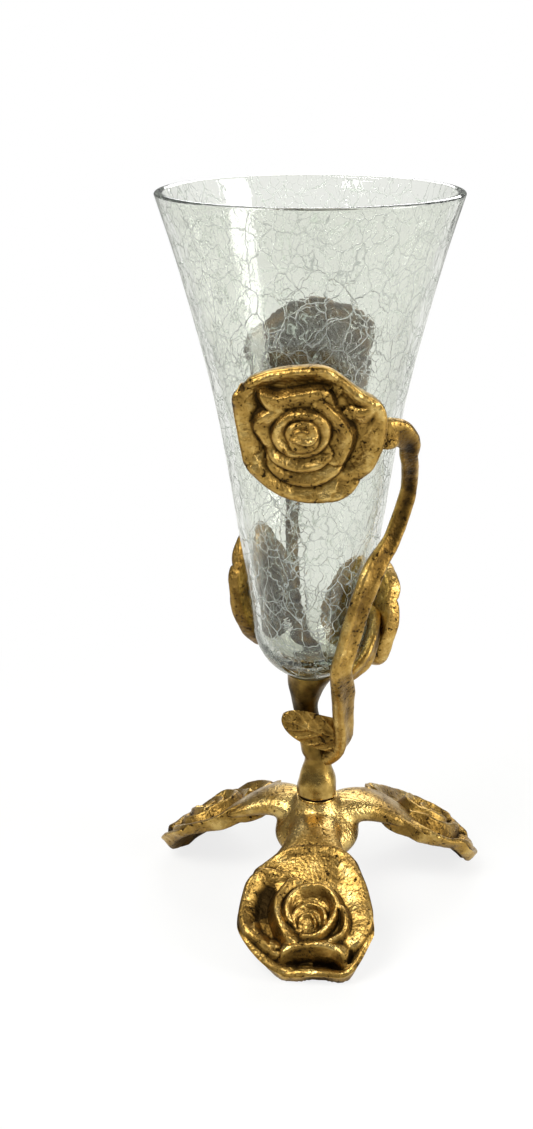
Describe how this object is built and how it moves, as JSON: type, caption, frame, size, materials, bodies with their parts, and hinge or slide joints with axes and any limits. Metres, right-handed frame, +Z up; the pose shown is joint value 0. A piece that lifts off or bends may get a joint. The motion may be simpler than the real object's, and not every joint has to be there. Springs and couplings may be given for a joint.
{
  "type": "rose-branch glass vase",
  "caption": "Crackle-glass trumpet vase cradled by cast brass rose branches, screwed onto a brass hub with splayed rose feet.",
  "frame": {"origin": "on the table, under the middle of the object's box", "axes": "+Z up, -Y towards the front foot and the front bloom, +X to the right seen from the front"},
  "size_m": [0.0972, 0.0916, 0.2035],
  "materials": {
    "cast_brass": "cast, polished on the high spots, dark in the hollows",
    "turned_brass": "turned and polished",
    "crackle_glass": "clear, crackled through the wall",
    "plated_steel": "zinc plated",
    "black_rubber": "matt"
  },
  "bodies": {
    "base": {"base_hub": "turned_brass", "foot_rose_front": "cast_brass", "foot_rose_right": "cast_brass", "foot_rose_left": "cast_brass", "threaded_stud": "plated_steel", "lock_washer": "plated_steel", "hex_nut": "plated_steel"},
    "washer": {"seam_washer": "black_rubber"},
    "holder": {"stem": "turned_brass", "front_branch": "cast_brass", "right_shoot": "cast_brass", "back_branch": "cast_brass", "front_rose": "cast_brass", "back_rose": "cast_brass", "left_rose": "cast_brass", "right_rose": "cast_brass", "stem_leaf": "cast_brass"},
    "glass": {"glass_vase": "crackle_glass"}
  },
  "joints": [
    {"name": "stem_unscrew", "type": "hinge", "parent": "base", "child": "washer", "pos_m": [0, 0.00618, 0.0309], "axis": [0, 0, 1], "range_deg": [0, 3600]},
    {"name": "stem_rise", "type": "slide", "parent": "washer", "child": "holder", "axis": [0, 0, 1], "range_m": [0, 0.008]},
    {"name": "glass_lift", "type": "slide", "parent": "holder", "child": "glass", "axis": [0, 0, 1], "range_m": [0, 0.11]}
  ],
  "couplings": [
    {"joint": "stem_rise", "follows": "stem_unscrew", "m_per_rad": 0.0001273}
  ]
}
